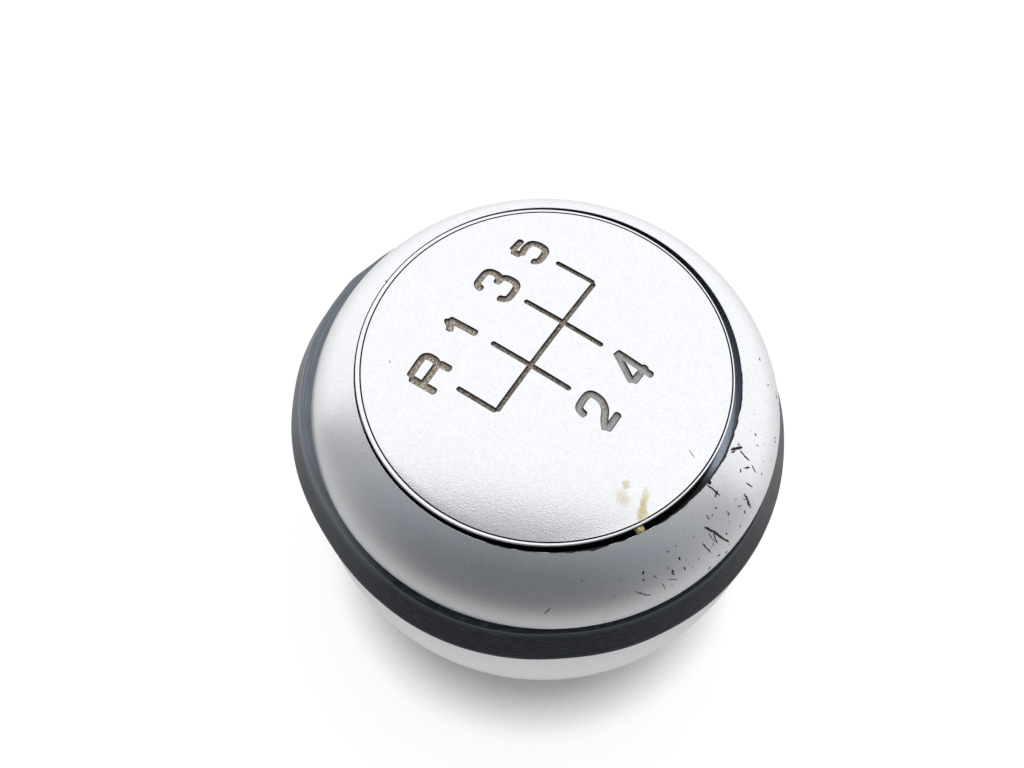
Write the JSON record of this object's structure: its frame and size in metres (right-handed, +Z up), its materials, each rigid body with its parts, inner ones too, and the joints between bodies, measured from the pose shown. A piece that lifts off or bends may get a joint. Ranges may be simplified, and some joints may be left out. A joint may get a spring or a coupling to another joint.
{
  "type": "gear shift knob",
  "caption": "Ball-shaped manual gear shift knob: engraved domed pattern cap, silver painted shells, black rubber grip band and a metal-sleeved lever socket.",
  "frame": {"origin": "centre of the foot ring's base, on the lever's axis", "axes": "+Z up along the lever's axis, +Y forward to first, third and fifth gear, +X to the right across the gate"},
  "size_m": [0.054, 0.054, 0.0523],
  "materials": {
    "silver_cap_paint": "satin silver paint on ABS, engraved and filled with dirt",
    "silver_shell_paint": "satin silver paint on black ABS, scratched",
    "black_rubber": "matt moulded rubber",
    "yellowed_adhesive": "dried and yellowed",
    "black_plastic": "moulded, bare",
    "turned_steel": "turned",
    "zinc_plated_steel": "zinc plated"
  },
  "bodies": {
    "root": {"pattern_cap": "silver_cap_paint", "upper_shell": "silver_shell_paint", "lower_shell": "silver_shell_paint", "grip_band": "black_rubber", "cap_adhesive": "yellowed_adhesive", "core": "black_plastic", "lever_sleeve": "turned_steel", "assembly_screws": "zinc_plated_steel"}
  },
  "joints": []
}
